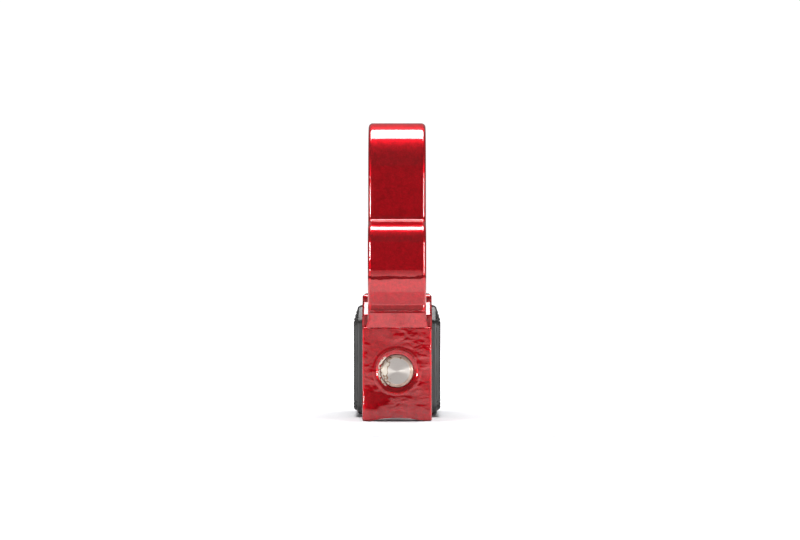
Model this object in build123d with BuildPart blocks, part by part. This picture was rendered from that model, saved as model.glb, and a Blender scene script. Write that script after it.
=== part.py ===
from build123d import *

import os

# A motorcycle brake disc lock. A one-piece painted steel body is shaped like an arch: its thin front leg
# and its wide housing leg stand either side of a slot for the brake disc. A push-in lock cylinder in the
# housing leg carries the bolt that closes the slot. All lengths are in millimetres.
#
# Axes: X is the thickness, Y runs along the bolt from the front leg (-Y) to the keyway (+Y), Z is up.
# The origin is at the middle of the footprint, on the surface that the lock stands on.

# ---- driving dimensions ---------------------------------------------------------------------------
BODY_TOP = 136.0
FRONT_FACE = -41.0
REAR_FACE = 40.6
ARM_HALF = 13.15
FRONT_BLOCK_HALF = 15.7
FRONT_BLOCK_TOP = 42.2
FACE_BOW_RADIUS = 50.0
NECK_TOP = 50.0
HOUSING_HALF = 16.0
HOUSING_TOP = 56.8
SLOT_FRONT = -28.0
SLOT_REAR = -18.0
ARCH_INSIDE = 112.8
CHANNEL_DEPTH = 1.6
CHANNEL_HALF = 12.4

BOLT_HEIGHT = 22.6
BOLT_RADIUS = 7.25
BOLT_END = -40.8
BOLT_CHAMFER = 1.4
BOLT_TRAVEL = 23.5
FRONT_HOLE_RADIUS = 7.6
RIM_RADIUS = 3.1
GUIDE_BORE_RADIUS = 7.31
CYLINDER_RADIUS = 10.0
CYLINDER_BORE_RADIUS = 10.08
SPRING_SEAT = -10.0

HOUSING_END = 40.0
CAP_END = 41.6
SOCKET_END = 5.2
CAM_ROOM_START = 6.2
CAM_ROOM_RADIUS = 5.6
BARREL_START = 15.1
BARREL_END = 36.4
BARREL_RADIUS = 7.2
DISC_RADIUS = 5.55
SEAT_RADIUS = 8.4
SEAT_START = 36.6

BALL_RADIUS = 3.0
BALL_PLACE = 10.0
BALL_IN = 6.9
BALL_OUT = 8.4
PIN_PLACE = 28.0
PIN_RADIUS = 2.0
PIN_TIP = 8.7
RUNNING_GAP = 0.05

PLATE_THICKNESS = 2.4
PAD_THICKNESS = 1.7
PLATE_TAPER = 20
PAD_TAPER = 40
SCREW_PLACES = [(-7.0, 42.5), (29.0, 43.0), (28.5, 7.0)]
DOWEL_PLACES = [(12.0, 45.0), (-5.0, 7.5)]

BOLT_AXIS = Axis((0, 0, BOLT_HEIGHT), (0, 1, 0))
# The plane through the bolt's centreline whose x is the place along the bolt and whose y is the radius.
BOLT_SECTION = Plane(origin=(0, 0, BOLT_HEIGHT), x_dir=(0, 1, 0), z_dir=(1, 0, 0))


def across_bolt(place):
    """A plane square to the bolt at Y = place, with x along -X, y along +Z, and facing the keyway."""
    return Plane(origin=(0, place, BOLT_HEIGHT), x_dir=(-1, 0, 0), z_dir=(0, 1, 0))


def turned_ring(start, end, inner, outer):
    """A ring about the bolt's centreline, from Y = start to Y = end."""
    with BuildPart() as ring:
        with BuildSketch(BOLT_SECTION):
            with Locations(((start + end) / 2, (inner + outer) / 2)):
                Rectangle(end - start, outer - inner)
        revolve(axis=BOLT_AXIS)
    return ring.part


def finish(piece, name):
    """Labels a finished piece and writes it as one STEP file."""
    piece.part.label = name
    export_step(piece.part, f"parts/{name}.step")
    print(name, round(piece.part.volume, 1), "mm3")


os.makedirs("parts", exist_ok=True)

# ---- lock body: the arch -------------------------------------------------------------------------
# The side view of the arch, which is a bar bent over the disc. Each corner has the radius beside it.
ARCH_ROOT = 30.0
ARCH_FRONT_FOOT = -38.3
ARCH_REAR_FOOT = 39.4
ARCH_INNER_FOOT = 12.0
arch_outer = [
    ((ARCH_FRONT_FOOT, 52.5), 1.5),
    ((-42.0, 60.5), 32.0),
    ((-41.2, 86.7), 9.0),
    ((-29.7, 90.75), 2.2),
    ((-28.9, BODY_TOP), 21.0),
    ((26.5, BODY_TOP), 27.0),
    ((32.4, 66.0), 16.0),
    ((ARCH_REAR_FOOT, 54.0), 6.0),
]
arch_inner = [
    ((6.0, ARCH_INSIDE), 12.0),
    ((-17.5, ARCH_INSIDE), 11.5),
    ((-17.5, 87.8), 7.0),
    ((SLOT_FRONT, 77.3), 7.0),
]
ARCH_EDGE = 1.9
with BuildPart() as arch:
    with BuildSketch(Plane.YZ):
        with BuildLine():
            FilletPolyline(
                (ARCH_FRONT_FOOT, ARCH_ROOT),
                *[corner for corner, _ in arch_outer],
                (ARCH_REAR_FOOT, ARCH_ROOT),
                radius=[radius for _, radius in arch_outer],
            )
            Line((ARCH_REAR_FOOT, ARCH_ROOT), (ARCH_INNER_FOOT, ARCH_ROOT))
            FilletPolyline(
                (ARCH_INNER_FOOT, ARCH_ROOT),
                *[corner for corner, _ in arch_inner],
                (SLOT_FRONT, ARCH_ROOT),
                radius=[radius for _, radius in arch_inner],
            )
            Line((SLOT_FRONT, ARCH_ROOT), (ARCH_FRONT_FOOT, ARCH_ROOT))
        make_face()
    extrude(amount=ARM_HALF, both=True)
    side_faces = faces().filter_by(Axis.X)
    side_edges = side_faces.edges().filter_by(lambda edge: edge.center().Z > ARCH_ROOT + 0.1)
    fillet(side_edges, radius=ARCH_EDGE)

# ---- lock body: the front block and its neck -----------------------------------------------------
NECK_FOOT_HALF = 14.2
NECK_TOP_HALF = 12.0


def leg_section(half_width, front, bow_radius):
    """A level section of the front leg: straight sides and back, and a front face bowed about Z."""
    edge = front + bow_radius - (bow_radius**2 - half_width**2) ** 0.5
    with BuildLine() as section:
        ThreePointArc((-half_width, edge), (0, front), (half_width, edge))
        Polyline((half_width, edge), (half_width, SLOT_FRONT), (-half_width, SLOT_FRONT), (-half_width, edge))
    return section.line


with BuildPart() as front_block:
    with BuildSketch():
        add(leg_section(FRONT_BLOCK_HALF, FRONT_FACE, FACE_BOW_RADIUS))
        make_face()
        fillet(vertices().group_by(Axis.Y)[0], radius=1.2)
        fillet(vertices().group_by(Axis.Y)[-1], radius=0.8)
    extrude(amount=FRONT_BLOCK_TOP)
    fillet(faces().sort_by(Axis.Z)[-1].edges(), radius=0.7)
    fillet(faces().sort_by(Axis.Z)[0].edges(), radius=0.9)

with BuildPart() as neck:
    with BuildSketch(Plane.XY.offset(FRONT_BLOCK_TOP - 1.0)):
        add(leg_section(NECK_FOOT_HALF, FRONT_FACE + 0.7, FACE_BOW_RADIUS))
        make_face()
    with BuildSketch(Plane.XY.offset(NECK_TOP)):
        add(leg_section(NECK_TOP_HALF, FRONT_FACE + 0.2, 12 * FACE_BOW_RADIUS))
        make_face()
    loft()
    fillet(faces().sort_by(Axis.Z)[-1].edges().sort_by(Axis.Y)[0], radius=1.2)

# ---- lock body: the housing leg -------------------------------------------------------------------
# Its front shoulder is a 45 degree facet that leads the disc in, with a rounded lip above it.
FACET = 6.0
FACET_FOOT = 47.3
housing_corners = [
    ((SLOT_REAR, 0), 1.2),
    ((SLOT_REAR, FACET_FOOT), 1.0),
    ((SLOT_REAR + FACET, FACET_FOOT + FACET), 0.8),
    ((SLOT_REAR + FACET, HOUSING_TOP), 2.2),
    ((REAR_FACE, HOUSING_TOP), 13.0),
    ((REAR_FACE, 0), 5.0),
]
with BuildPart() as housing:
    with BuildSketch(Plane.YZ):
        with BuildLine():
            FilletPolyline(
                *[corner for corner, _ in housing_corners],
                radius=[radius for _, radius in housing_corners],
                close=True,
            )
        make_face()
    extrude(amount=HOUSING_HALF, both=True)
    outer_edges = faces().filter_by(Axis.X).edges()
    chamfer(outer_edges, length=0.9)

# ---- lock body: joined and bored ------------------------------------------------------------------
GROOVE_RADIUS = 3.3
GROOVE_CENTRE = 8.6
with BuildPart() as lock_body:
    add(arch.part)
    add(housing.part)
    junction = edges().filter_by_position(Axis.Z, HOUSING_TOP - 0.1, HOUSING_TOP + 0.1)
    junction = junction.filter_by_position(Axis.X, -ARM_HALF - 0.5, ARM_HALF + 0.5)
    fillet(junction.filter_by_position(Axis.Y, 5, REAR_FACE), radius=1.8)
    add(front_block.part)
    add(neck.part)
    # The shallow channel underneath leaves a land along each side to stand on.
    channel_radius = (CHANNEL_HALF**2 + CHANNEL_DEPTH**2) / (2 * CHANNEL_DEPTH)
    with BuildSketch(Plane.XZ):
        with Locations((0, CHANNEL_DEPTH - channel_radius)):
            Circle(channel_radius)
    extrude(amount=60, both=True, mode=Mode.SUBTRACT)
    # The front hole, whose mouth is rounded over.
    with BuildSketch(BOLT_SECTION):
        with BuildLine():
            rim_top = (FRONT_FACE, FRONT_HOLE_RADIUS + 2.7)
            rim_centre_place = FRONT_FACE + RIM_RADIUS
            rim_foot = (rim_centre_place - (RIM_RADIUS**2 - 2.7**2) ** 0.5, FRONT_HOLE_RADIUS)
            RadiusArc(rim_top, rim_foot, RIM_RADIUS)
            Polyline(
                rim_foot,
                (SLOT_FRONT + 1, FRONT_HOLE_RADIUS),
                (SLOT_FRONT + 1, 0),
                (FRONT_FACE - 2, 0),
                (FRONT_FACE - 2, FRONT_HOLE_RADIUS + 2.7),
                rim_top,
            )
        make_face()
    revolve(axis=BOLT_AXIS, mode=Mode.SUBTRACT)
    # The guide bore, the seal's groove in it, the cylinder bore, and a lead-in at the rear face.
    with BuildSketch(BOLT_SECTION):
        with BuildLine():
            Polyline(
                (SLOT_REAR - 1, 0),
                (SLOT_REAR - 1, GUIDE_BORE_RADIUS),
                (SLOT_REAR + 1.2, GUIDE_BORE_RADIUS),
                (SLOT_REAR + 1.2, 8.6),
                (SLOT_REAR + 3.2, 8.6),
                (SLOT_REAR + 3.2, GUIDE_BORE_RADIUS),
                (SPRING_SEAT, GUIDE_BORE_RADIUS),
                (SPRING_SEAT, CYLINDER_BORE_RADIUS),
                (REAR_FACE - 3.0, CYLINDER_BORE_RADIUS),
                (REAR_FACE - 3.0, 11.4),
                (REAR_FACE - 1.4, 11.4),
                (REAR_FACE - 1.4, CYLINDER_BORE_RADIUS),
                (REAR_FACE - 0.7, CYLINDER_BORE_RADIUS),
                (REAR_FACE + 0.3, 11.08),
                (REAR_FACE + 0.3, 0),
                close=True,
            )
        make_face()
    revolve(axis=BOLT_AXIS, mode=Mode.SUBTRACT)
    # Grooves that the balls enter, with the bolt home and with the bolt drawn back.
    for place in (BALL_PLACE, BALL_PLACE + BOLT_TRAVEL):
        with BuildSketch(BOLT_SECTION):
            with Locations((place, GROOVE_CENTRE)):
                Circle(GROOVE_RADIUS)
        revolve(axis=BOLT_AXIS, mode=Mode.SUBTRACT)
    # The retaining pin's hole from the right side, and a drain at the lowest line of the bore.
    with BuildSketch(Plane.YZ.offset(CYLINDER_BORE_RADIUS - 2)):
        with Locations((PIN_PLACE, BOLT_HEIGHT)):
            Circle(PIN_RADIUS + 0.02)
    extrude(amount=HOUSING_HALF, mode=Mode.SUBTRACT)
    with BuildSketch(Plane.XY.offset(-1)):
        with Locations((0, 21.0)):
            Circle(1.3)
    extrude(amount=BOLT_HEIGHT - CYLINDER_BORE_RADIUS + 2, mode=Mode.SUBTRACT)
    # Tapped holes for the cover screws and plain holes for their dowels, both sides.
    for side in (-1, 1):
        with BuildSketch(Plane.YZ.offset(side * HOUSING_HALF)):
            with Locations(*SCREW_PLACES):
                Circle(1.55)
            with Locations(*DOWEL_PLACES):
                Circle(1.52)
        extrude(amount=-side * 7.0, mode=Mode.SUBTRACT)
finish(lock_body, "lock_body")

# ---- bolt and what ties it to the cylinder ---------------------------------------------------------
TAIL_RADIUS = 5.0
CROSS_PIN_PLACE = 2.7
CROSS_PIN_RADIUS = 1.25
with BuildPart() as locking_bolt:
    with BuildSketch(BOLT_SECTION):
        with BuildLine():
            Polyline(
                (BOLT_END, 0),
                (BOLT_END, BOLT_RADIUS - BOLT_CHAMFER),
                (BOLT_END + BOLT_CHAMFER, BOLT_RADIUS),
                (-0.02, BOLT_RADIUS),
                (-0.02, TAIL_RADIUS),
                (SOCKET_END - 0.6, TAIL_RADIUS),
                (SOCKET_END - 0.1, TAIL_RADIUS - 0.5),
                (SOCKET_END - 0.1, 0),
                close=True,
            )
        make_face()
    revolve(axis=BOLT_AXIS)
    with BuildSketch(Plane.XY):
        with Locations((0, CROSS_PIN_PLACE)):
            Circle(CROSS_PIN_RADIUS + 0.01)
    extrude(amount=BOLT_HEIGHT + CYLINDER_RADIUS, mode=Mode.SUBTRACT)
finish(locking_bolt, "locking_bolt")

with BuildPart() as bolt_cross_pin:
    pin_length = 2 * (CYLINDER_RADIUS - 0.3)
    with BuildSketch(Plane.XY.offset(BOLT_HEIGHT - pin_length / 2)):
        with Locations((0, CROSS_PIN_PLACE)):
            Circle(CROSS_PIN_RADIUS)
    extrude(amount=pin_length)
    chamfer(edges().filter_by(GeomType.CIRCLE), length=0.25)
finish(bolt_cross_pin, "bolt_cross_pin")

SPRING_WIRE = 1.2
SPRING_RADIUS = 8.4
SPRING_TURNS = 6
with BuildPart() as return_spring:
    spring_start = SPRING_SEAT + SPRING_WIRE / 2 + 0.05
    spring_length = -SPRING_SEAT - SPRING_WIRE - 0.1
    with BuildLine():
        coil = Helix(
            pitch=spring_length / SPRING_TURNS,
            height=spring_length,
            radius=SPRING_RADIUS,
            center=(0, spring_start, BOLT_HEIGHT),
            direction=(0, 1, 0),
        )
    with BuildSketch(Plane(origin=coil @ 0, z_dir=coil % 0)):
        Circle(SPRING_WIRE / 2)
    sweep(is_frenet=True)
finish(return_spring, "return_spring")

with BuildPart() as wiper_seal:
    add(turned_ring(SLOT_REAR + 1.3, SLOT_REAR + 3.1, BOLT_RADIUS + 0.04, 8.55))
    chamfer(edges().filter_by(GeomType.CIRCLE).group_by(Axis.Y)[0].sort_by(SortBy.RADIUS)[0], length=0.3)
finish(wiper_seal, "wiper_seal")

# ---- cylinder housing -----------------------------------------------------------------------------
SIDEBAR_HALF = 0.8
with BuildPart() as cylinder_housing:
    with BuildSketch(BOLT_SECTION):
        with BuildLine():
            Polyline(
                (0, TAIL_RADIUS + 0.02),
                (0, CYLINDER_RADIUS - 0.5),
                (0.5, CYLINDER_RADIUS),
                (HOUSING_END, CYLINDER_RADIUS),
                (HOUSING_END, SEAT_RADIUS),
                (SEAT_START, SEAT_RADIUS),
                (SEAT_START, BARREL_RADIUS + RUNNING_GAP),
                (BARREL_START - 0.1, BARREL_RADIUS + RUNNING_GAP),
                (BARREL_START - 0.1, CAM_ROOM_RADIUS),
                (CAM_ROOM_START, CAM_ROOM_RADIUS),
                (CAM_ROOM_START, 0),
                (SOCKET_END, 0),
                (SOCKET_END, TAIL_RADIUS + 0.02),
                close=True,
            )
        make_face()
    revolve(axis=BOLT_AXIS)
    # One hole above and one below for the balls, and the cross pin's hole.
    with BuildSketch(Plane.XY):
        with Locations((0, BALL_PLACE)):
            Circle(BALL_RADIUS + RUNNING_GAP)
        with Locations((0, CROSS_PIN_PLACE)):
            Circle(CROSS_PIN_RADIUS + 0.01)
    extrude(amount=BOLT_HEIGHT + CYLINDER_RADIUS + 1, mode=Mode.SUBTRACT)
    # The slot that the retaining pin runs in, which limits the travel.
    slot_start = PIN_PLACE - BOLT_TRAVEL
    with BuildSketch(Plane.YZ.offset(PIN_TIP - 0.3)):
        with Locations(((slot_start + PIN_PLACE) / 2, BOLT_HEIGHT)):
            SlotCenterToCenter(BOLT_TRAVEL, 2 * (PIN_RADIUS + RUNNING_GAP))
    extrude(amount=3, mode=Mode.SUBTRACT)
    # The groove that holds the sidebar while the barrel is locked.
    with BuildSketch(across_bolt(BARREL_START)):
        with Locations((0, -BARREL_RADIUS)):
            Rectangle(2 * SIDEBAR_HALF + 0.2, 2.2)
    extrude(amount=BARREL_END - BARREL_START - 0.5, mode=Mode.SUBTRACT)
finish(cylinder_housing, "cylinder_housing")

with BuildPart() as cylinder_seal:
    add(turned_ring(REAR_FACE - 2.95, REAR_FACE - 1.45, CYLINDER_RADIUS + 0.04, 11.35))
    chamfer(edges().filter_by(GeomType.CIRCLE).sort_by(SortBy.RADIUS)[0:2], length=0.3)
finish(cylinder_seal, "cylinder_seal")

with BuildPart() as retaining_pin:
    with BuildSketch(Plane.YZ.offset(PIN_TIP)):
        with Locations((PIN_PLACE, BOLT_HEIGHT)):
            Circle(PIN_RADIUS)
    extrude(amount=HOUSING_HALF - PIN_TIP - 0.2)
    chamfer(edges().filter_by(GeomType.CIRCLE), length=0.3)
finish(retaining_pin, "retaining_pin")

# ---- balls and cam ---------------------------------------------------------------------------------
for name, height in (("locking_ball_upper", BALL_IN), ("locking_ball_lower", -BALL_IN)):
    with BuildPart() as ball:
        with Locations((0, BALL_PLACE, BOLT_HEIGHT + height)):
            Sphere(BALL_RADIUS)
    finish(ball, name)

# The cam is an oval sleeve on the barrel's square stub. Its short way faces the balls at rest.
CAM_START = 7.5
CAM_END = BARREL_START - 0.15
CAM_LONG = 5.2
CAM_SHORT = 3.7
STUB_SIDE = 3.2
with BuildPart() as cam:
    with BuildSketch(across_bolt(CAM_START)):
        Ellipse(CAM_LONG, CAM_SHORT)
        Rectangle(STUB_SIDE + 0.04, STUB_SIDE + 0.04, mode=Mode.SUBTRACT)
    extrude(amount=CAM_END - CAM_START)
finish(cam, "cam")

with BuildPart() as cam_clip:
    with BuildSketch(across_bolt(CAM_START - 0.65)):
        Circle(2.9)
        Circle(1.32, mode=Mode.SUBTRACT)
        with Locations((0, -2.2)):
            Rectangle(2.0, 2.6, mode=Mode.SUBTRACT)
    extrude(amount=0.6)
finish(cam_clip, "cam_clip")

# ---- barrel with its disc stack --------------------------------------------------------------------
DISC_COUNT = 10
DISC_PITCH = 1.78
DISC_THICKNESS = 1.15
WASHER_THICKNESS = 0.55
STACK_START = BARREL_START + 1.5
SIDEBAR_INNER = 4.2
KEYWAY_WIDE = 2.8
KEYWAY_HIGH = 7.4
with BuildPart() as plug_barrel:
    add(turned_ring(BARREL_START, BARREL_END, DISC_RADIUS + 0.05, BARREL_RADIUS))
    with BuildSketch(across_bolt(BARREL_START)):
        Circle(DISC_RADIUS + 0.1)
    extrude(amount=1.4)
    with BuildSketch(across_bolt(CAM_START)):
        Rectangle(STUB_SIDE, STUB_SIDE)
    extrude(amount=BARREL_START - CAM_START)
    with BuildSketch(across_bolt(CAM_START - 0.75)):
        Circle(1.3)
    extrude(amount=0.75)
    with BuildSketch(across_bolt(CAM_START - 1.1)):
        Circle(1.6)
    extrude(amount=0.36)
    with BuildSketch(Plane.YZ.offset(4.8)):
        with Locations(((STACK_START + BARREL_END - 0.7) / 2, BOLT_HEIGHT)):
            Rectangle(BARREL_END - 0.7 - STACK_START, 2 * SIDEBAR_HALF + 0.1)
    extrude(amount=4, mode=Mode.SUBTRACT)
finish(plug_barrel, "plug_barrel")


def disc_sketch(place, keyway_turn, gate):
    """The face of one disc at Y = place, with its key hole and the gate that the sidebar drops into."""
    with BuildSketch(across_bolt(place)) as face:
        Circle(DISC_RADIUS)
        with Locations((-DISC_RADIUS, 0)):
            Rectangle(2 * (DISC_RADIUS - SIDEBAR_INNER) + 0.1, gate, mode=Mode.SUBTRACT)
        with Locations(Rotation(0, 0, keyway_turn)):
            Rectangle(KEYWAY_WIDE, KEYWAY_HIGH, mode=Mode.SUBTRACT)
    return face.sketch


with BuildPart() as detainer_discs:
    for number in range(DISC_COUNT):
        place = STACK_START + number * DISC_PITCH
        turn = (number * 37) % 5 * 7 - 14
        extrude(disc_sketch(place, turn, 2 * SIDEBAR_HALF + 0.1), amount=DISC_THICKNESS)
finish(detainer_discs, "detainer_discs")

with BuildPart() as spacer_washers:
    for number in range(DISC_COUNT):
        place = STACK_START + number * DISC_PITCH + DISC_THICKNESS + 0.03
        with BuildSketch(across_bolt(place)):
            Circle(DISC_RADIUS)
            Circle(4.05, mode=Mode.SUBTRACT)
            with Locations((-DISC_RADIUS, 0)):
                Rectangle(4.0, 2 * SIDEBAR_HALF + 0.1, mode=Mode.SUBTRACT)
        extrude(amount=WASHER_THICKNESS)
finish(spacer_washers, "spacer_washers")

with BuildPart() as sidebar:
    sidebar_length = DISC_COUNT * DISC_PITCH - 0.2
    with BuildSketch(Plane.YZ.offset(SIDEBAR_INNER + 0.05)):
        with Locations((STACK_START + 0.05 + sidebar_length / 2, BOLT_HEIGHT)):
            Rectangle(sidebar_length, 2 * SIDEBAR_HALF)
    extrude(amount=BARREL_RADIUS - SIDEBAR_INNER - 0.25)
    chamfer(edges().filter_by(Axis.Y).group_by(Axis.X)[-1], length=0.35)
finish(sidebar, "sidebar")

with BuildPart() as front_drill_disc:
    drill_disc_start = STACK_START + DISC_COUNT * DISC_PITCH
    with BuildSketch(across_bolt(drill_disc_start)):
        Circle(DISC_RADIUS)
        Rectangle(KEYWAY_WIDE, KEYWAY_HIGH, mode=Mode.SUBTRACT)
    extrude(amount=BARREL_END - drill_disc_start)
finish(front_drill_disc, "front_drill_disc")

# ---- face of the cylinder --------------------------------------------------------------------------
PLATE_END = SEAT_START + 1.6
SHUTTER_BOSS = 5.6
with BuildPart() as front_plate:
    add(turned_ring(SEAT_START + 0.02, PLATE_END, 4.3, SEAT_RADIUS - 0.02))
finish(front_plate, "front_plate")

with BuildPart() as wave_washer:
    add(turned_ring(PLATE_END + 0.03, PLATE_END + 0.33, 6.0, SEAT_RADIUS - 0.15))
finish(wave_washer, "wave_washer")

with BuildPart() as keyway_shutter:
    shutter_start = PLATE_END + 0.38
    with BuildSketch(across_bolt(shutter_start)):
        Circle(SEAT_RADIUS - 0.3)
    extrude(amount=0.9)
    with BuildSketch(across_bolt(shutter_start + 0.85)):
        Circle(SHUTTER_BOSS)
    extrude(amount=CAP_END - shutter_start - 1.15)
    fillet(edges().filter_by(GeomType.CIRCLE).sort_by(Axis.Y)[-1], radius=0.3)
    with BuildSketch(across_bolt(shutter_start - 0.1)):
        SlotOverall(KEYWAY_HIGH, KEYWAY_WIDE, rotation=90)
    extrude(amount=5, mode=Mode.SUBTRACT)
finish(keyway_shutter, "keyway_shutter")

with BuildPart() as face_cap:
    add(turned_ring(HOUSING_END, CAP_END, SHUTTER_BOSS + 0.1, CYLINDER_RADIUS))
    add(turned_ring(HOUSING_END - 0.4, HOUSING_END, SEAT_RADIUS - 1.2, SEAT_RADIUS - 0.02))
    fillet(edges().filter_by(GeomType.CIRCLE).group_by(Axis.Y)[-1], radius=0.45)
finish(face_cap, "face_cap")

# ---- side covers -----------------------------------------------------------------------------------
# Each cover is a plate screwed to the housing, with a ribbed pad bonded over it. Both have sloping edges.
cover_corners = [
    ((-14.2, 0.9), 5.0),
    ((-14.2, 44.4), 3.6),
    ((-7.0, 51.6), 3.6),
    ((36.8, 51.6), 11.0),
    ((36.8, 0.9), 5.5),
]
PAD_INSET = 1.8
RAMP_FOOT = 43.8
RAMP_TOP = 51.0
RAMP_EDGE = 0.15


def cover_outline(inset, height):
    """The side view of a cover, drawn in by inset, on the plane at X = height."""
    with BuildSketch(Plane.YZ.offset(height)) as outline:
        with BuildLine():
            FilletPolyline(
                *[corner for corner, _ in cover_corners],
                radius=[radius for _, radius in cover_corners],
                close=True,
            )
        make_face()
        if inset:
            offset(amount=-inset, kind=Kind.INTERSECTION)
    return outline.sketch


with BuildPart() as cover_plate_right:
    extrude(cover_outline(0, HOUSING_HALF), amount=PLATE_THICKNESS, taper=PLATE_TAPER)
    with Locations(Plane.YZ.offset(HOUSING_HALF + PLATE_THICKNESS)):
        with Locations(*SCREW_PLACES):
            CounterSinkHole(radius=1.6, counter_sink_radius=3.0, depth=PLATE_THICKNESS + 1)
        with Locations(*DOWEL_PLACES):
            Hole(radius=1.52, depth=PLATE_THICKNESS + 1)
finish(cover_plate_right, "cover_plate_right")

with BuildPart() as cover_plate_left:
    mirror(cover_plate_right.part, about=Plane.YZ)
finish(cover_plate_left, "cover_plate_left")

with BuildPart() as cover_pad_right:
    pad_foot = HOUSING_HALF + PLATE_THICKNESS
    extrude(cover_outline(PAD_INSET, pad_foot), amount=PAD_THICKNESS, taper=PAD_TAPER)
    # The upper edge is ramped off all the way along, where the grip ribs are.
    pad_face = pad_foot + PAD_THICKNESS
    with BuildSketch(Plane.XZ):
        with BuildLine():
            Polyline(
                (pad_face, RAMP_FOOT),
                (pad_foot + RAMP_EDGE, RAMP_TOP),
                (pad_face + 1, RAMP_TOP),
                (pad_face + 1, RAMP_FOOT),
                close=True,
            )
        make_face()
    extrude(amount=60, both=True, mode=Mode.SUBTRACT)
finish(cover_pad_right, "cover_pad_right")

with BuildPart() as cover_pad_left:
    mirror(cover_pad_right.part, about=Plane.YZ)
finish(cover_pad_left, "cover_pad_left")

# Six countersunk screws, their heads flush with the plates, and four dowels.
SCREW_LENGTH = 8.0
with BuildPart() as cover_screws:
    for side in (-1, 1):
        for y_place, z_place in SCREW_PLACES:
            head_plane = Plane(
                origin=(side * (HOUSING_HALF + PLATE_THICKNESS - 0.1), y_place, z_place),
                x_dir=(0, 1, 0),
                z_dir=(side, 0, 0),
            )
            with BuildSketch(head_plane):
                Circle(2.8)
            extrude(amount=-1.4, taper=45)
            with BuildSketch(head_plane):
                Circle(1.5)
            extrude(amount=-SCREW_LENGTH)
            with BuildSketch(head_plane):
                RegularPolygon(radius=1.1, side_count=6)
            extrude(amount=-1.2, mode=Mode.SUBTRACT)
finish(cover_screws, "cover_screws")

DOWEL_LENGTH = 6.0
with BuildPart() as cover_dowels:
    for side in (-1, 1):
        with BuildSketch(Plane.YZ.offset(side * (HOUSING_HALF + PLATE_THICKNESS - 0.1))):
            with Locations(*DOWEL_PLACES):
                Circle(1.5)
        extrude(amount=-side * DOWEL_LENGTH)
finish(cover_dowels, "cover_dowels")
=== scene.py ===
import math

import bmesh
import bpy
from mathutils import Matrix, Vector


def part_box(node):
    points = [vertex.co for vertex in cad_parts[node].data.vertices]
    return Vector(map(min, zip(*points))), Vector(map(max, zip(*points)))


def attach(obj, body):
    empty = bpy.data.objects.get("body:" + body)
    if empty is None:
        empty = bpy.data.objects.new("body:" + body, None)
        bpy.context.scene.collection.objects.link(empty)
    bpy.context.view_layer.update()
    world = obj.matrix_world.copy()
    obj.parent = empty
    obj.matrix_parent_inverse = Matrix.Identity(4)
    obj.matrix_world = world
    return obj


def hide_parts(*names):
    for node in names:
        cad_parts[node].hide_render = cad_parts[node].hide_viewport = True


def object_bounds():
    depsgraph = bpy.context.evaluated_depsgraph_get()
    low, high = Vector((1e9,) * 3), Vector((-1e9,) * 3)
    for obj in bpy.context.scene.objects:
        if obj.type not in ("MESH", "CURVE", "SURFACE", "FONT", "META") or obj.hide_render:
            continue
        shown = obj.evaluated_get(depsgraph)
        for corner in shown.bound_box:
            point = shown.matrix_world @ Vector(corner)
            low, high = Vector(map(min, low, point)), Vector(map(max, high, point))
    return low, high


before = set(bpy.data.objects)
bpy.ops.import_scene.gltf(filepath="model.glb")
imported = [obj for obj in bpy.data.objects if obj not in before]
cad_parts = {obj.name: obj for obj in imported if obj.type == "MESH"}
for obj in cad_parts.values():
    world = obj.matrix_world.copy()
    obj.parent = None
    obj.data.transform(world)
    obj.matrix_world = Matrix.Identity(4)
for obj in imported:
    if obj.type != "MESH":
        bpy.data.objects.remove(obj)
cad_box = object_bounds()
MM = 0.001

# ---- Cast body --------------------------------------------------------------------------------------
# The body is one steel casting, ground smooth and sprayed with a candy enamel: a red tinted lacquer over
# a thin metallic ground, under clear lacquer. The lacquer pulls into an orange peel, and the front block
# keeps the dents and slow waves of the casting. Paint has chipped off the hole's rim on one side.


def srgb(code):
    """A #rrggbb colour as a linear colour with full alpha."""
    channels = [int(code[i : i + 2], 16) / 255 for i in (1, 3, 5)]
    return tuple(c / 12.92 if c <= 0.04045 else ((c + 0.055) / 1.055) ** 2.4 for c in channels) + (1.0,)


def node(owner, kind, settings=None, **inputs):
    """Adds one node. settings are its properties; inputs are values or the sockets that feed them."""
    made = owner.node_tree.nodes.new(kind)
    for key, value in (settings or {}).items():
        setattr(made, key, value)
    for key, value in inputs.items():
        socket = made.inputs[int(key[1:])] if key[0] == "_" else made.inputs[key.replace("_", " ")]
        if isinstance(value, bpy.types.NodeSocket):
            owner.node_tree.links.new(value, socket)
        else:
            socket.default_value = value
    return made


def new_material(name):
    """An empty node material, its output node, and its object coordinates."""
    material = bpy.data.materials.new(name)
    material.use_nodes = True
    material.node_tree.nodes.clear()
    output = node(material, "ShaderNodeOutputMaterial")
    place = node(material, "ShaderNodeTexCoord").outputs["Object"]
    return material, output, place


def finish_node(material, *node_names):
    """Gives CAD nodes that are shown as they are their final finish."""
    for node_name in node_names:
        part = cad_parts[node_name]
        part.data.materials.clear()
        part.data.materials.append(material)


COLOUR = {"data_type": "RGBA"}
BOLT_LOW, BOLT_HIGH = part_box("locking_bolt")
BOLT_CENTRE = (BOLT_LOW + BOLT_HIGH) / 2
BOLT_RADIUS_MM = (BOLT_HIGH.x - BOLT_LOW.x) / 2 / MM
BLOCK_TOP = 42.2 * MM
BLOCK_FADE = 6.0 * MM
HOLE_RIM_MM = 7.6
LIP_START_MM = HOLE_RIM_MM + 2.7
LIP_WIDTH_MM = 1.0
CHIP_REACH_MM = 1.3
CHIP_FRONT = -39.5 * MM
CHIP_BACK = -37.5 * MM
CHIP_INNER = -4.0 * MM
CHIP_OUTER = -6.5 * MM
PARTING_LINE = 65.2 * MM
PARTING_WIDTH = 1.5 * MM
PARTING_WOBBLE = 2.6 * MM
SWELL_CENTRE = (-12.0 * MM, 0, 4.5 * MM)
SWELL_REACH = 11.0 * MM
FRONT_LEG_BACK = -18.0 * MM
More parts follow.
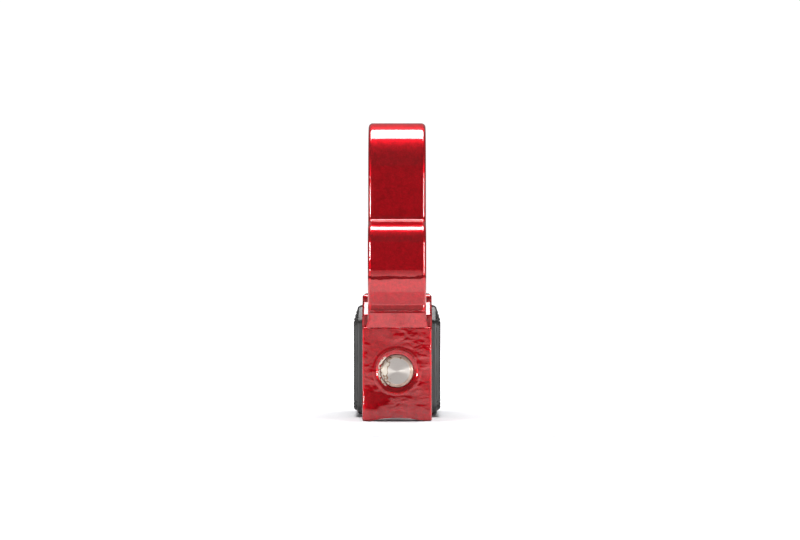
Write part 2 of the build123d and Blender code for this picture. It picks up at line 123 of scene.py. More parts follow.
FRONT_LEG_FADE = 4.0 * MM


def axis_distance(material, place):
    """The distance of a point from the bolt's centreline, in millimetres, and its offset as a vector."""
    centre = (BOLT_CENTRE.x, 0, BOLT_CENTRE.z)
    offset = node(material, "ShaderNodeVectorMath", {"operation": "SUBTRACT"}, _0=place, _1=centre)
    flat = node(
        material, "ShaderNodeVectorMath", {"operation": "MULTIPLY"}, _0=offset.outputs[0], _1=(1, 0, 1)
    )
    length = node(material, "ShaderNodeVectorMath", {"operation": "LENGTH"}, _0=flat.outputs[0])
    scaled = node(material, "ShaderNodeMath", {"operation": "DIVIDE"}, _0=length.outputs["Value"], _1=MM)
    return scaled.outputs[0], flat.outputs[0]


def chipped_paint(material, place):
    """Where the paint is off: 1 on ragged spots along the left rim of the front hole, and 0 elsewhere."""
    distance, flat = axis_distance(material, place)
    near_rim = node(
        material,
        "ShaderNodeMapRange",
        Value=distance,
        From_Min=HOLE_RIM_MM + CHIP_REACH_MM,
        From_Max=HOLE_RIM_MM - 0.3,
    )
    parts = node(material, "ShaderNodeSeparateXYZ", Vector=flat)
    leftward = node(
        material,
        "ShaderNodeMapRange",
        Value=parts.outputs["X"],
        From_Min=CHIP_INNER,
        From_Max=CHIP_OUTER,
    )
    depth = node(material, "ShaderNodeSeparateXYZ", Vector=place)
    outside = node(
        material,
        "ShaderNodeMapRange",
        Value=depth.outputs["Y"],
        From_Min=CHIP_BACK,
        From_Max=CHIP_FRONT,
    )
    spots_mm = 1.1
    spots = node(material, "ShaderNodeTexNoise", Vector=place, Scale=1 / (spots_mm * MM), Detail=2.5)
    ragged = node(
        material, "ShaderNodeMapRange", Value=spots.outputs[0], From_Min=0.42, From_Max=0.5
    )
    total = ragged.outputs[0]
    for mask in (near_rim, leftward, outside):
        total = node(
            material, "ShaderNodeMath", {"operation": "MULTIPLY"}, _0=total, _1=mask.outputs[0]
        ).outputs[0]
    return node(material, "ShaderNodeMapRange", Value=total, From_Min=0.1, From_Max=0.2).outputs[0]


def candy_enamel():
    """Candy red enamel over a metallic ground: a deep red that glows around each tinted reflection."""
    material, output, place = new_material("candy_red_enamel")
    parts = node(material, "ShaderNodeSeparateXYZ", Vector=place)
    on_block = node(
        material,
        "ShaderNodeMapRange",
        Value=parts.outputs["Z"],
        From_Min=BLOCK_TOP + BLOCK_FADE,
        From_Max=BLOCK_TOP,
        To_Min=0.12,
        To_Max=1.0,
    )
    # Slow waves of the casting, 16 mm apart and about 0.1 mm deep on the block.
    wave_mm = 16.0
    waves = node(material, "ShaderNodeTexNoise", Vector=place, Scale=1 / (wave_mm * MM), Detail=1.0)
    # Ripples drawn out sideways, about 5 by 3 mm, stronger in patches.
    ripple_mm = (4.6, 4.6, 2.8)
    patch_mm = 14.0
    drawn_out = node(
        material, "ShaderNodeMapping", Vector=place, Scale=tuple(1 / (size * MM) for size in ripple_mm)
    )
    ripples = node(
        material, "ShaderNodeTexNoise", Vector=drawn_out.outputs[0], Scale=1.0, Detail=1.0, Distortion=0.3
    )
    patches = node(material, "ShaderNodeTexNoise", Vector=place, Scale=1 / (patch_mm * MM), Detail=0.0)
    patch = node(
        material,
        "ShaderNodeMapRange",
        Value=patches.outputs[0],
        From_Min=0.42,
        From_Max=0.62,
        To_Min=0.05,
        To_Max=0.34,
    )
    rippled = node(
        material, "ShaderNodeMath", {"operation": "MULTIPLY"}, _0=ripples.outputs[0], _1=patch.outputs[0]
    )
    wavy = node(
        material,
        "ShaderNodeMath",
        {"operation": "MULTIPLY_ADD"},
        _0=waves.outputs[0],
        _1=0.6,
        _2=rippled.outputs[0],
    )
    # A low lip round the front hole, left by the pin that cored it. It also brings the waves' mean to
    # nothing, so that they fade out evenly above the block.
    distance, _ = axis_distance(material, place)
    lip = node(
        material,
        "ShaderNodeMapRange",
        {"interpolation_type": "SMOOTHSTEP"},
        Value=distance,
        From_Min=LIP_START_MM + LIP_WIDTH_MM,
        From_Max=LIP_START_MM,
        To_Min=-0.40,
        To_Max=-0.25,
    )
    lipped = node(
        material, "ShaderNodeMath", {"operation": "ADD"}, _0=wavy.outputs[0], _1=lip.outputs[0]
    )
    # One broad swell, low on the left of the front block, where the mould was dressed.
    from_swell = node(
        material, "ShaderNodeVectorMath", {"operation": "SUBTRACT"}, _0=place, _1=SWELL_CENTRE
    )
    squeezed = node(
        material,
        "ShaderNodeVectorMath",
        {"operation": "MULTIPLY"},
        _0=from_swell.outputs[0],
        _1=(1 / SWELL_REACH, 0, 1 / SWELL_REACH),
    )
    reach = node(material, "ShaderNodeVectorMath", {"operation": "LENGTH"}, _0=squeezed.outputs[0])
    swell = node(
        material,
        "ShaderNodeMapRange",
        {"interpolation_type": "SMOOTHSTEP"},
        Value=reach.outputs["Value"],
        From_Min=1.0,
        From_Max=0.0,
        To_Max=1.7,
    )
    swollen = node(
        material, "ShaderNodeMath", {"operation": "ADD"}, _0=lipped.outputs[0], _1=swell.outputs[0]
    )
    casting = node(
        material,
        "ShaderNodeMath",
        {"operation": "MULTIPLY"},
        _0=swollen.outputs[0],
        _1=on_block.outputs[0],
    )
    # The mould's parting line crosses the front leg as a fine, uneven step. The rear leg is ground flush.
    front_leg = node(
        material,
        "ShaderNodeMapRange",
        Value=parts.outputs["Y"],
        From_Min=FRONT_LEG_BACK,
        From_Max=FRONT_LEG_BACK - FRONT_LEG_FADE,
        To_Max=0.9,
    )
    wobble_mm = 5.0
    wobble = node(
        material, "ShaderNodeTexNoise", Vector=place, Scale=1 / (wobble_mm * MM), Detail=3.0
    )
    level = node(
        material,
        "ShaderNodeMath",
        {"operation": "MULTIPLY_ADD"},
        _0=wobble.outputs[0],
        _1=PARTING_WOBBLE,
        _2=parts.outputs["Z"],
    )
    step = node(
        material,
        "ShaderNodeMapRange",
        {"interpolation_type": "SMOOTHSTEP"},
        Value=level.outputs[0],
        From_Min=PARTING_LINE + PARTING_WIDTH,
        From_Max=PARTING_LINE,
        To_Max=front_leg.outputs[0],
    )
    relief = node(
        material, "ShaderNodeMath", {"operation": "ADD"}, _0=casting.outputs[0], _1=step.outputs[0]
    )
    wave_bump = node(
        material, "ShaderNodeBump", Strength=1.0, Distance=0.50 * MM, Height=relief.outputs[0]
    )
    peel_mm = 1.5
    peel = node(material, "ShaderNodeTexNoise", Vector=place, Scale=1 / (peel_mm * MM), Detail=2.0)
    peel_bump = node(
        material,
        "ShaderNodeBump",
        Strength=1.0,
        Distance=0.008 * MM,
        Height=peel.outputs[0],
        Normal=wave_bump.outputs[0],
    )
    # Flakes in the ground coat are drawn 0.6 mm across, coarser than they are, so that they show.
    flake_mm = 0.6
    flakes = node(material, "ShaderNodeTexVoronoi", Vector=place, Scale=1 / (flake_mm * MM))
    cloud_mm = 1.8
    clouds = node(
        material, "ShaderNodeTexNoise", Vector=place, Scale=1 / (cloud_mm * MM), Detail=4.0, Roughness=0.7
    )
    mottle = node(
        material,
        "ShaderNodeMath",
        {"operation": "MULTIPLY_ADD"},
        _0=flakes.outputs["Color"],
        _1=0.30,
        _2=clouds.outputs[0],
    )
    spread = node(
        material, "ShaderNodeMapRange", Value=mottle.outputs[0], From_Min=0.42, From_Max=0.95
    )
    paint = node(
        material, "ShaderNodeMix", COLOUR, Factor=spread.outputs[0], A=srgb("#8a020c"), B=srgb("#b80516")
    )
    chips = chipped_paint(material, place)
    bare = node(
        material, "ShaderNodeMix", COLOUR, Factor=clouds.outputs[0], A=srgb("#f3ece0"), B=srgb("#8a6a4a")
    )
    tint = node(
        material, "ShaderNodeMix", COLOUR, Factor=chips, A=paint.outputs["Result"], B=bare.outputs["Result"]
    )
    ground = node(
        material, "ShaderNodeMapRange", Value=chips, From_Min=0.0, From_Max=1.0, To_Min=0.66, To_Max=0.2
    )
    shader = node(
        material,
        "ShaderNodeBsdfPrincipled",
        Base_Color=tint.outputs["Result"],
        Metallic=ground.outputs[0],
        Roughness=0.34,
        Specular_IOR_Level=0.0,
        Coat_Weight=1.0,
        Coat_Roughness=0.02,
        Coat_IOR=1.55,
        Normal=wave_bump.outputs[0],
        Coat_Normal=peel_bump.outputs[0],
    )
    material.node_tree.links.new(shader.outputs[0], output.inputs[0])
    return material


finish_node(candy_enamel(), "lock_body")

# ---- Seals and springs ------------------------------------------------------------------------------
# A moulded nitrile wiper sits in the mouth of the guide bore, and a ring of the same rubber seals the
# cylinder at the rear face. The spring round the bolt is coiled from phosphated wire.


def moulded(name, colour, worn, roughness, grain_mm, depth_mm):
    """Moulded plastic or rubber: a fine spark-eroded grain, and slow patches where hands polish it."""
    material, output, place = new_material(name)
    grain = node(material, "ShaderNodeTexNoise", Vector=place, Scale=1 / (grain_mm * MM), Detail=3.0)
    bump = node(material, "ShaderNodeBump", Strength=1.0, Distance=depth_mm * MM, Height=grain.outputs[0])
    patch_mm = 11.0
    patches = node(material, "ShaderNodeTexNoise", Vector=place, Scale=1 / (patch_mm * MM), Detail=5.0)
    tint = node(
        material, "ShaderNodeMix", COLOUR, Factor=patches.outputs[0], A=srgb(colour), B=srgb(worn)
    )
    sheen = node(
        material,
        "ShaderNodeMapRange",
        Value=patches.outputs[0],
        From_Min=0.3,
        From_Max=0.7,
        To_Min=roughness - 0.06,
        To_Max=roughness + 0.08,
    )
    shader = node(
        material,
        "ShaderNodeBsdfPrincipled",
        Base_Color=tint.outputs["Result"],
        Roughness=sheen.outputs[0],
        Normal=bump.outputs[0],
    )
    material.node_tree.links.new(shader.outputs[0], output.inputs[0])
    return material


def worked_metal(name, light, dark, roughness, marks_mm, depth_mm=0.004):
    """A metal covered in fine marks, whose size along X, Y and Z is given in millimetres."""
    material, output, place = new_material(name)
    drawn = node(
        material, "ShaderNodeMapping", Vector=place, Scale=tuple(1 / (size * MM) for size in marks_mm)
    )
    marks = node(material, "ShaderNodeTexNoise", Vector=drawn.outputs[0], Scale=1.0, Detail=3.0)
    film_mm = 6.0
    film = node(material, "ShaderNodeTexNoise", Vector=place, Scale=1 / (film_mm * MM), Detail=4.0)
    both = node(
        material, "ShaderNodeMath", {"operation": "MULTIPLY"}, _0=marks.outputs[0], _1=film.outputs[0]
    )
    spread = node(material, "ShaderNodeMapRange", Value=both.outputs[0], From_Min=0.12, From_Max=0.38)
    tint = node(
        material, "ShaderNodeMix", COLOUR, Factor=spread.outputs[0], A=srgb(light), B=srgb(dark)
    )
    gloss = node(
        material,
        "ShaderNodeMapRange",
        Value=both.outputs[0],
        From_Min=0.1,
        From_Max=0.4,
        To_Min=roughness,
        To_Max=roughness + 0.15,
    )
    bump = node(material, "ShaderNodeBump", Strength=0.8, Distance=depth_mm * MM, Height=marks.outputs[0])
    shader = node(
        material,
        "ShaderNodeBsdfPrincipled",
        Base_Color=tint.outputs["Result"],
        Metallic=1.0,
        Roughness=gloss.outputs[0],
        Normal=bump.outputs[0],
    )
    material.node_tree.links.new(shader.outputs[0], output.inputs[0])
    return material


# Nitrile rubber is matt black with the faint bloom of moulding wax.
nitrile = moulded("nitrile_rubber", "#151515", "#232221", 0.55, 0.25, 0.006)
finish_node(nitrile, "wiper_seal", "cylinder_seal")
# Phosphated spring wire is dark grey with drawing lines along it.
spring_wire = worked_metal("phosphated_spring_wire", "#55565a", "#2e2f33", 0.34, (0.3, 0.3, 0.3))
finish_node(spring_wire, "return_spring")

# ---- Locking bolt -----------------------------------------------------------------------------------
# The bolt is hardened steel bar, turned to size. Its end is faced on the lathe, which leaves fine rings
# that spread the light into two bright wedges, and its chamfer is tinted tan to brown in patches: a painted
# reflection of the red bore round it. A ground cross pin ties it to the cylinder.
CHAMFER_MM = 1.4
BOLT_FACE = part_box("locking_bolt")[0].y
FACING_RING_MM = 0.22


def turned_steel(name, colour):
    """Steel faced on a lathe: fine rings about the bolt's centreline, with the light drawn across them."""
    material, output, place = new_material(name)
    distance, flat = axis_distance(material, place)
    tangent = node(material, "ShaderNodeVectorMath", {"operation": "NORMALIZE"}, _0=flat)
    turns = node(
        material,
        "ShaderNodeMath",
        {"operation": "MULTIPLY"},
        _0=distance,
        _1=2 * math.pi / FACING_RING_MM,
    )
    ripple = node(material, "ShaderNodeMath", {"operation": "SINE"}, _0=turns.outputs[0])
    bump = node(material, "ShaderNodeBump", Strength=0.6, Distance=0.004 * MM, Height=ripple.outputs[0])
    along = node(material, "ShaderNodeSeparateXYZ", Vector=place)
    on_end = node(
        material,
        "ShaderNodeMapRange",
        Value=along.outputs["Y"],
        From_Min=BOLT_FACE + 2.2 * MM,
        From_Max=BOLT_FACE + 1.5 * MM,
    )
    edge = node(
        material,
        "ShaderNodeMapRange",
        Value=distance,
        From_Min=BOLT_RADIUS_MM - CHAMFER_MM - 0.1,
        From_Max=BOLT_RADIUS_MM - CHAMFER_MM + 0.15,
        To_Max=on_end.outputs[0],
    )
    # Painted reflection: the chamfer is tinted tan to brown in patches, standing for the red bore reflected
    # in it.
    bore_tint_mm = 2.2
    bore_tint_patches = node(material, "ShaderNodeTexNoise", Vector=place, Scale=1 / (bore_tint_mm * MM), Detail=4.0)
    bore_reflection_tint = node(
        material, "ShaderNodeMix", COLOUR, Factor=bore_tint_patches.outputs[0], A=srgb("#eadccf"), B=srgb("#9a7a60")
    )
    tint = node(
        material,
        "ShaderNodeMix",
        COLOUR,
        Factor=edge.outputs[0],
        A=srgb(colour),
        B=bore_reflection_tint.outputs["Result"],
    )
    # Pale patches with brown outlines lie over the left of the end.
    left_patch_mm = 2.8
    left_patch_noise = node(material, "ShaderNodeTexNoise", Vector=place, Scale=1 / (left_patch_mm * MM), Detail=1.0)
    sides = node(material, "ShaderNodeSeparateXYZ", Vector=flat)
    leftward = node(
        material,
        "ShaderNodeMapRange",
        Value=sides.outputs["X"],
        From_Min=-2.2 * MM,
        From_Max=-5.2 * MM,
        To_Min=-0.25,
        To_Max=0.10,
    )
    spread = node(
        material, "ShaderNodeMath", {"operation": "ADD"}, _0=left_patch_noise.outputs[0], _1=leftward.outputs[0]
    )
    left_patched = node(
        material,
        "ShaderNodeMapRange",
        Value=spread.outputs[0],
        From_Min=0.50,
        From_Max=0.54,
        To_Max=on_end.outputs[0],
    )
    inside = node(
        material, "ShaderNodeMapRange", Value=spread.outputs[0], From_Min=0.56, From_Max=0.62
    )
    left_patch_colour = node(
        material, "ShaderNodeMix", COLOUR, Factor=inside.outputs[0], A=srgb("#7a5530"), B=srgb("#d2cabd")
    )
    face_colour = node(
        material,
        "ShaderNodeMix",
        COLOUR,
        Factor=left_patched.outputs[0],
        A=tint.outputs["Result"],
        B=left_patch_colour.outputs["Result"],
    )
    covered = node(
        material, "ShaderNodeMath", {"operation": "MAXIMUM"}, _0=edge.outputs[0], _1=left_patched.outputs[0]
    )
    # The chamfer's painted reflection tint and the pale patches are made half metallic, so they reflect less
    # sharply there.
    bareness = node(material, "ShaderNodeMapRange", Value=covered.outputs[0], To_Min=1.0, To_Max=0.5)
    shader = node(
        material,
        "ShaderNodeBsdfPrincipled",
        Base_Color=face_colour.outputs["Result"],
        Metallic=bareness.outputs[0],
        Roughness=0.42,
        Anisotropic=0.9,
        Tangent=tangent.outputs[0],
        Normal=bump.outputs[0],
    )
    material.node_tree.links.new(shader.outputs[0], output.inputs[0])
    return material


finish_node(turned_steel("turned_steel", "#c6c0bb"), "locking_bolt")
# Centreless-ground dowel steel is bright, with marks round it too fine to see.
ground_steel = worked_metal("ground_dowel_steel", "#c9cacc", "#96979a", 0.2, (0.6, 0.15, 0.6))
finish_node(ground_steel, "bolt_cross_pin", "retaining_pin", "cover_dowels")

# ---- Lock cylinder ----------------------------------------------------------------------------------
# A nickel-plated brass housing slides in the body. Two hardened balls leave it through its wall when the
# cam on the barrel pushes them out. The barrel carries ten brass discs, spaced by thin steel washers,
# and a sidebar that drops into the discs' gates.
# Nickel plate over turned brass is a warm grey, and the rings left by the tool show through it.
nickel_plate = worked_metal("nickel_plated_brass", "#c4bca8", "#8f8878", 0.26, (2.5, 0.12, 2.5))
finish_node(nickel_plate, "cylinder_housing")
# Lapped ball steel is close to a mirror.
ball_steel = worked_metal("polished_ball_steel", "#d4d5d8", "#b4b5b8", 0.08, (2, 2, 2), 0.001)
finish_node(ball_steel, "locking_ball_upper", "locking_ball_lower")
# Hardened pieces keep the dull grey skin of the quench.
hardened_steel = worked_metal("hardened_steel", "#8f8d8a", "#5c5a57", 0.3, (0.5, 0.2, 0.5))
finish_node(hardened_steel, "cam", "cam_clip", "sidebar", "front_drill_disc", "front_plate")
# Turned brass is yellow with rings round it, and stamped brass is a little paler, without them.
turned_brass = worked_metal("turned_brass", "#caa355", "#8e6c2c", 0.24, (1.8, 0.14, 1.8))
finish_node(turned_brass, "plug_barrel")
stamped_brass = worked_metal("stamped_brass", "#d0ab60", "#9a7836", 0.3, (0.4, 0.4, 0.4))
finish_node(stamped_brass, "detainer_discs")
# Shim steel is tempered to a blue grey.
shim_steel = worked_metal("blued_shim_steel", "#8b8f98", "#5d626e", 0.28, (0.4, 0.4, 0.4))
finish_node(shim_steel, "spacer_washers", "wave_washer")

# ---- Cylinder face ----------------------------------------------------------------------------------
# A stainless cap is rolled over the end of the cylinder and polished. The shutter behind it turns with
# the key and is brushed across its face.
# Polished stainless is bright, with a few buffing lines level across it.
polished_cap = worked_metal("polished_stainless", "#d8d8da", "#a9a9ac", 0.1, (3.5, 3.5, 0.25), 0.001)
finish_node(polished_cap, "face_cap")
# Brushed stainless is greyer, and its level lines spread the light up and down.
brushed_shutter = worked_metal("brushed_stainless", "#b9b9bb", "#7e7e81", 0.26, (4.0, 4.0, 0.12))
finish_node(brushed_shutter, "keyway_shutter")

# ---- Side covers ------------------------------------------------------------------------------------
# Each side of the housing has a glass-filled nylon plate, held by countersunk screws and located by
# dowels. A rubber pad is bonded over it, with grip ribs across its upper ramp and its lower edge.
PLATE_LOW, PLATE_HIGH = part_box("cover_plate_right")
PAD_LOW, PAD_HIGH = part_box("cover_pad_right")
NOSE_Y = 7.2 * MM
NOSE_Z = 7.2 * MM
NOSE_REACH = 1.5 * MM
FRONT_FOOT_RADIUS = 5.0 * MM
REAR_TOP_RADIUS = 11.0 * MM
REAR_FOOT_RADIUS = 5.5 * MM
PAD_INSET = 1.8 * MM
PAD_NOSE_INSET = 0.8 * MM
SHARP_ANGLE = math.radians(35)


def rounded_sheet(low, high, nose_y, nose_z, radii):
    """One flat face across X at the cover's foot, with its nose cut off and every corner rounded."""
    foot_front, nose, top_rear, foot_rear = radii
    corners = [
        ((low.y, low.z), foot_front),
        ((low.y, high.z - nose_z), nose),
        ((low.y + nose_y, high.z), nose),
        ((high.y, high.z), top_rear),
        ((high.y, low.z), foot_rear),
    ]
    bm = bmesh.new()
    ring = [bm.verts.new((low.x, y, z)) for (y, z), _ in corners]
    bm.faces.new(reversed(ring))
    for vert, (_, reach) in zip(ring, corners):
        bmesh.ops.bevel(
            bm, geom=[vert], offset=reach, affect="VERTICES", segments=6, profile=0.5, material=-1
        )
    return bm


def close_up(bm):
    """Fills whatever is open and turns every face outwards."""
    open_edges = [edge for edge in bm.edges if edge.is_boundary]
    bmesh.ops.holes_fill(bm, edges=open_edges, sides=0)
    bmesh.ops.recalc_face_normals(bm, faces=bm.faces)
    bm.normal_update()


def rise(bm, steps):
    """Raises the sheet towards +X in steps of (height, draw-in), given in millimetres."""
    top = max(bm.faces, key=lambda face: face.calc_area())
    for height, draw_in in steps:
        bmesh.ops.inset_region(
            bm,
            faces=[top],
            thickness=draw_in * MM,
            depth=height * MM,
            use_boundary=True,
            use_even_offset=True,
        )
    close_up(bm)


def into_piece(bm, name, material, edge_mm):
    """Makes a cover piece an object, with softened edges and flat faces that stay flat."""
    bmesh.ops.recalc_face_normals(bm, faces=bm.faces)
    for face in bm.faces:
        face.smooth = True
    for edge in bm.edges:
        edge.smooth = edge.calc_face_angle(0) < SHARP_ANGLE
    mesh = bpy.data.meshes.new(name)
    bm.to_mesh(mesh)
    bm.free()
    mesh.materials.append(material)
    piece = bpy.data.objects.new(name, mesh)
    bpy.context.scene.collection.objects.link(piece)
    soften = piece.modifiers.new("edges", "BEVEL")
    soften.width = edge_mm * MM
    soften.segments = 2
    soften.limit_method = "ANGLE"
    soften.angle_limit = SHARP_ANGLE
    flatten = piece.modifiers.new("flat_faces", "WEIGHTED_NORMAL")
    flatten.keep_sharp = True
    return piece


def cut(bm, height):
    """Divides every face that crosses a level plane."""
    geometry = [*bm.verts, *bm.edges, *bm.faces]
    bmesh.ops.bisect_plane(bm, geom=geometry, dist=1e-7, plane_co=(0, 0, height), plane_no=(0, 0, 1))


# Glass-filled nylon is a dark charcoal with a fine grain that catches grey light on its edges. The grain
# of both plastics is drawn about 0.5 mm wide, coarser than it is, so that it shows.
nylon = moulded("glass_filled_nylon", "#100f0f", "#1c1a19", 0.36, 0.5, 0.03)
# The pad's rubber is a little lighter and duller.
grip_rubber = moulded("moulded_grip_rubber", "#121111", "#1f1d1c", 0.42, 0.6, 0.03)
PLATE_STEPS = [(1.5, 0.5), (0.5, 0.2), (0.25, 0.2), (0.13, 0.35)]
PAD_STEPS = [(0.9, 0.55), (0.4, 0.3), (0.25, 0.35), (0.13, 0.5)]
RIB_PITCH = 1.65 * MM
RIB_GROOVE = 0.62 * MM
RIB_SLOPE = 0.1 * MM
GROOVE_SHRINK = (0.5, 0.975, 1)
TOP_GROOVES = 4
TOP_GROOVE_START = -0.4 * MM
FOOT_GROOVES = 2
FOOT_GROOVE_START = 2.4 * MM
RAMP_HEIGHT = 5.3 * MM
RAMP_DEPTH = 1.5 * MM
PANEL_FOOT = 6.4 * MM
PANEL_TOP_GAP = 4.8 * MM
PANEL_EDGE = 2.2 * MM
PANEL_SLOPE = 0.6 * MM
PANEL_DEPTH = 0.35 * MM

for side, name in ((1, "right"), (-1, "left")):
    bm = rounded_sheet(
        PLATE_LOW,
        PLATE_HIGH,
        NOSE_Y,
        NOSE_Z,
        (FRONT_FOOT_RADIUS, NOSE_REACH, REAR_TOP_RADIUS, REAR_FOOT_RADIUS),
    )
    rise(bm, PLATE_STEPS)
    bmesh.ops.scale(bm, vec=(side, 1, 1), verts=bm.verts)
    plate = into_piece(bm, f"nylon_plate_{name}", nylon, 0.15)
    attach(plate, "lock_body")
    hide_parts(f"cover_plate_{name}")

    # The pad follows the plate's outline, 1.8 mm further in, up to where its ramp cuts it.
    bm = rounded_sheet(
        PAD_LOW,
        Vector((PAD_HIGH.x, PAD_HIGH.y, PLATE_HIGH.z - (PAD_LOW.z - PLATE_LOW.z))),
        NOSE_Y - PAD_NOSE_INSET,
        NOSE_Z - PAD_NOSE_INSET,
        (
            FRONT_FOOT_RADIUS - PAD_INSET,
            NOSE_REACH,
            REAR_TOP_RADIUS - PAD_INSET,
            REAR_FOOT_RADIUS - PAD_INSET,
        ),
    )
    rise(bm, PAD_STEPS)
    # A shallow panel between two level cuts, and then the ramp along the top.
    ramp_foot = PAD_HIGH.z - RAMP_HEIGHT
    cut(bm, PAD_LOW.z + PANEL_FOOT)
    cut(bm, ramp_foot - PANEL_TOP_GAP)
    outer_faces = [face for face in bm.faces if face.normal.x > 0.9]
    panel = max(outer_faces, key=lambda face: face.calc_area())
    for reach, depth in ((PANEL_EDGE, 0), (PANEL_SLOPE, -PANEL_DEPTH)):
        bmesh.ops.inset_region(bm, faces=[panel], thickness=reach, depth=depth, use_even_offset=True)
    bmesh.ops.bisect_plane(
        bm,
        geom=[*bm.verts, *bm.edges, *bm.faces],
        dist=1e-7,
        plane_co=(PAD_HIGH.x, 0, ramp_foot),
        plane_no=(RAMP_HEIGHT, 0, RAMP_DEPTH),
        clear_outer=True,
    )
    close_up(bm)
    # Level grooves all the way round, whose floors are drawn in towards the foot's middle.
    to_foot = Matrix.Translation((-PAD_LOW.x, -(PAD_LOW.y + PAD_HIGH.y) / 2, 0))
    grooves = [ramp_foot + TOP_GROOVE_START + count * RIB_PITCH for count in range(TOP_GROOVES)]
    grooves += [PAD_LOW.z + FOOT_GROOVE_START + count * RIB_PITCH for count in range(FOOT_GROOVES)]
    for height in grooves:
        for level in (0, RIB_SLOPE, RIB_GROOVE - RIB_SLOPE, RIB_GROOVE):
            cut(bm, height + level)
        groove_floor = [
            vert for vert in bm.verts if RIB_SLOPE / 2 < vert.co.z - height < RIB_GROOVE - RIB_SLOPE / 2
        ]
        bmesh.ops.scale(bm, vec=GROOVE_SHRINK, space=to_foot, verts=groove_floor)
    bmesh.ops.scale(bm, vec=(side, 1, 1), verts=bm.verts)
    pad = into_piece(bm, f"grip_pad_{name}", grip_rubber, 0.1)
    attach(pad, "lock_body")
    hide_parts(f"cover_pad_{name}")

# ---- Cover screws -----------------------------------------------------------------------------------
# Three countersunk socket screws a side hold each plate. They are blackened in hot oxide, which is a
# satin blue black, and their heads lie flush under the pads.
black_oxide = worked_metal("black_oxide_steel", "#33343a", "#17181c", 0.35, (0.5, 0.5, 0.5))
finish_node(black_oxide, "cover_screws")

# ---- Camera -----------------------------------------------------------------------------------------
# A long lens about a metre in front of the lock, held level at half the lock's height and a little to
# the right of its middle.
CAMERA_DISTANCE = 0.997
CAMERA_HEIGHT = 0.0680
CAMERA_ASIDE = 0.00134
camera_data = bpy.data.cameras.new("camera")
camera_data.lens = 100.0
camera_data.sensor_width = 36.0
camera_data.clip_start = 0.02
camera_data.clip_end = 30.0
camera = bpy.data.objects.new("camera", camera_data)
bpy.context.scene.collection.objects.link(camera)
bpy.context.scene.camera = camera
camera.location = (CAMERA_ASIDE, cad_box[0].y - CAMERA_DISTANCE, CAMERA_HEIGHT)
camera.rotation_euler = (math.radians(90), 0, 0)

# ---- Floor and studio -------------------------------------------------------------------------------
# A white table under a large softbox, with narrow softboxes each side and a dark room in front. The
# table burns out to white further off. Past the patch near the lock, reflections see its top as part of
# the surroundings: dim at the far edge, where it is seen at a glancing angle, and brighter nearer.


def flat_card(name, low, high, height):
    """A level sheet of the stage between two corners."""
    bm = bmesh.new()
    bmesh.ops.create_grid(bm, x_segments=1, y_segments=1, size=0.5)
    bmesh.ops.scale(bm, vec=(high[0] - low[0], high[1] - low[1], 1), verts=bm.verts)
    middle = ((low[0] + high[0]) / 2, (low[1] + high[1]) / 2, height)
    bmesh.ops.translate(bm, vec=middle, verts=bm.verts)
    mesh = bpy.data.meshes.new(name)
    bm.to_mesh(mesh)
    bm.free()
    card = bpy.data.objects.new(name, mesh)
    bpy.context.scene.collection.objects.link(card)
    return card


# The patch under the lock shows in its reflections, and the table beyond lies 0.2 mm lower, out of them.
NEAR_HALF = 130 * MM
FAR_HALF = 6.0
FAR_DROP = -0.2 * MM
near_floor = flat_card("near_floor", (-NEAR_HALF, -NEAR_HALF), (NEAR_HALF, NEAR_HALF), 0.0)
floor = flat_card("floor", (-FAR_HALF, -FAR_HALF), (FAR_HALF, FAR_HALF), FAR_DROP)
white, output, place = new_material("white_table")
paper = node(white, "ShaderNodeBsdfPrincipled", Base_Color=srgb("#bebec0"), Roughness=0.6)
paper.inputs["Specular IOR Level"].default_value = 0.1
away = node(white, "ShaderNodeVectorMath", {"operation": "LENGTH"}, _0=place)
burnt_out = node(
    white, "ShaderNodeMapRange", Value=away.outputs["Value"], From_Min=0.045, From_Max=0.4, To_Max=1.1
)
light_path = node(white, "ShaderNodeLightPath")
seen = node(
    white,
    "ShaderNodeMath",
    {"operation": "MULTIPLY"},
    _0=burnt_out.outputs[0],
    _1=light_path.outputs["Is Camera Ray"],
)
paper.inputs["Emission Color"].default_value = (1, 1, 1, 1)
white.node_tree.links.new(seen.outputs[0], paper.inputs["Emission Strength"])
white.node_tree.links.new(paper.outputs[0], output.inputs[0])
floor.data.materials.append(white)
near_floor.data.materials.append(white)
floor.visible_glossy = False


def softbox(name, place, aim, width, height, power):
    """A rectangular softbox that faces aim."""
    data = bpy.data.lights.new(name, "AREA")
    data.shape = "RECTANGLE"
    data.size = width
    data.size_y = height
    data.energy = power
    lamp = bpy.data.objects.new(name, data)
    bpy.context.scene.collection.objects.link(lamp)
    lamp.location = place
    lamp.rotation_euler = (Vector(aim) - Vector(place)).to_track_quat("-Z", "Y").to_euler()


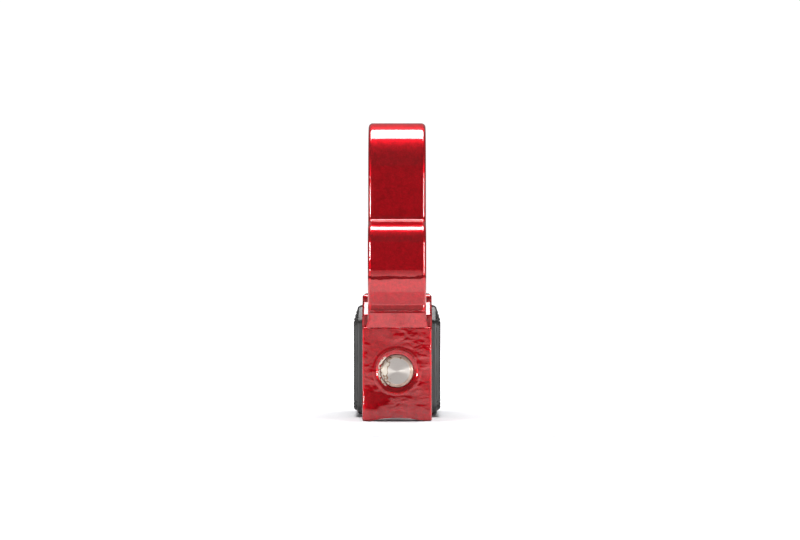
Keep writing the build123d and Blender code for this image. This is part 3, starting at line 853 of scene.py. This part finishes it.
MIDDLE = (0, 0, 0.07)
softbox("overhead", (0, 0.07, 0.90), (0, 0.07, 0), 0.9, 0.48, 25)
softbox("left_strip", (-0.84, -0.58, 0.15), MIDDLE, 0.14, 0.05, 2.0)
softbox("left_low_strip", (-0.84, -0.58, 0.07), MIDDLE, 0.14, 0.03, 1.2)
softbox("right_strip", (0.84, -0.58, 0.11), MIDDLE, 0.14, 0.14, 4.0)

world = bpy.data.worlds.new("studio")
bpy.context.scene.world = world
world.use_nodes = True
world.node_tree.nodes.clear()
light_path = node(world, "ShaderNodeLightPath")
looking = node(world, "ShaderNodeSeparateXYZ", Vector=node(world, "ShaderNodeTexCoord").outputs["Generated"])
ceiling = node(
    world,
    "ShaderNodeMapRange",
    Value=looking.outputs["Z"],
    From_Min=0.0,
    From_Max=0.12,
    To_Min=0.02,
    To_Max=0.20,
)
tabletop = node(
    world,
    "ShaderNodeMapRange",
    Value=looking.outputs["Z"],
    From_Min=-0.17,
    From_Max=0.0,
    To_Min=2.3,
    To_Max=0.55,
)
above = node(world, "ShaderNodeMath", {"operation": "GREATER_THAN"}, _0=looking.outputs["Z"], _1=0.0)
surroundings = node(
    world,
    "ShaderNodeMix",
    Factor=above.outputs[0],
    A=tabletop.outputs[0],
    B=ceiling.outputs[0],
)
fill = node(world, "ShaderNodeBackground", Color=(1, 1, 1, 1), Strength=0.30)
room = node(world, "ShaderNodeBackground", Color=(1, 0.98, 0.97, 1), Strength=surroundings.outputs[0])
backdrop = node(world, "ShaderNodeBackground", Color=(1, 1, 1, 1), Strength=1.05)
by_gloss = node(
    world,
    "ShaderNodeMixShader",
    _0=light_path.outputs["Is Glossy Ray"],
    _1=fill.outputs[0],
    _2=room.outputs[0],
)
by_camera = node(
    world,
    "ShaderNodeMixShader",
    _0=light_path.outputs["Is Camera Ray"],
    _1=by_gloss.outputs[0],
    _2=backdrop.outputs[0],
)
end = node(world, "ShaderNodeOutputWorld")
world.node_tree.links.new(by_camera.outputs[0], end.inputs[0])
bpy.context.scene.view_settings.view_transform = "Standard"
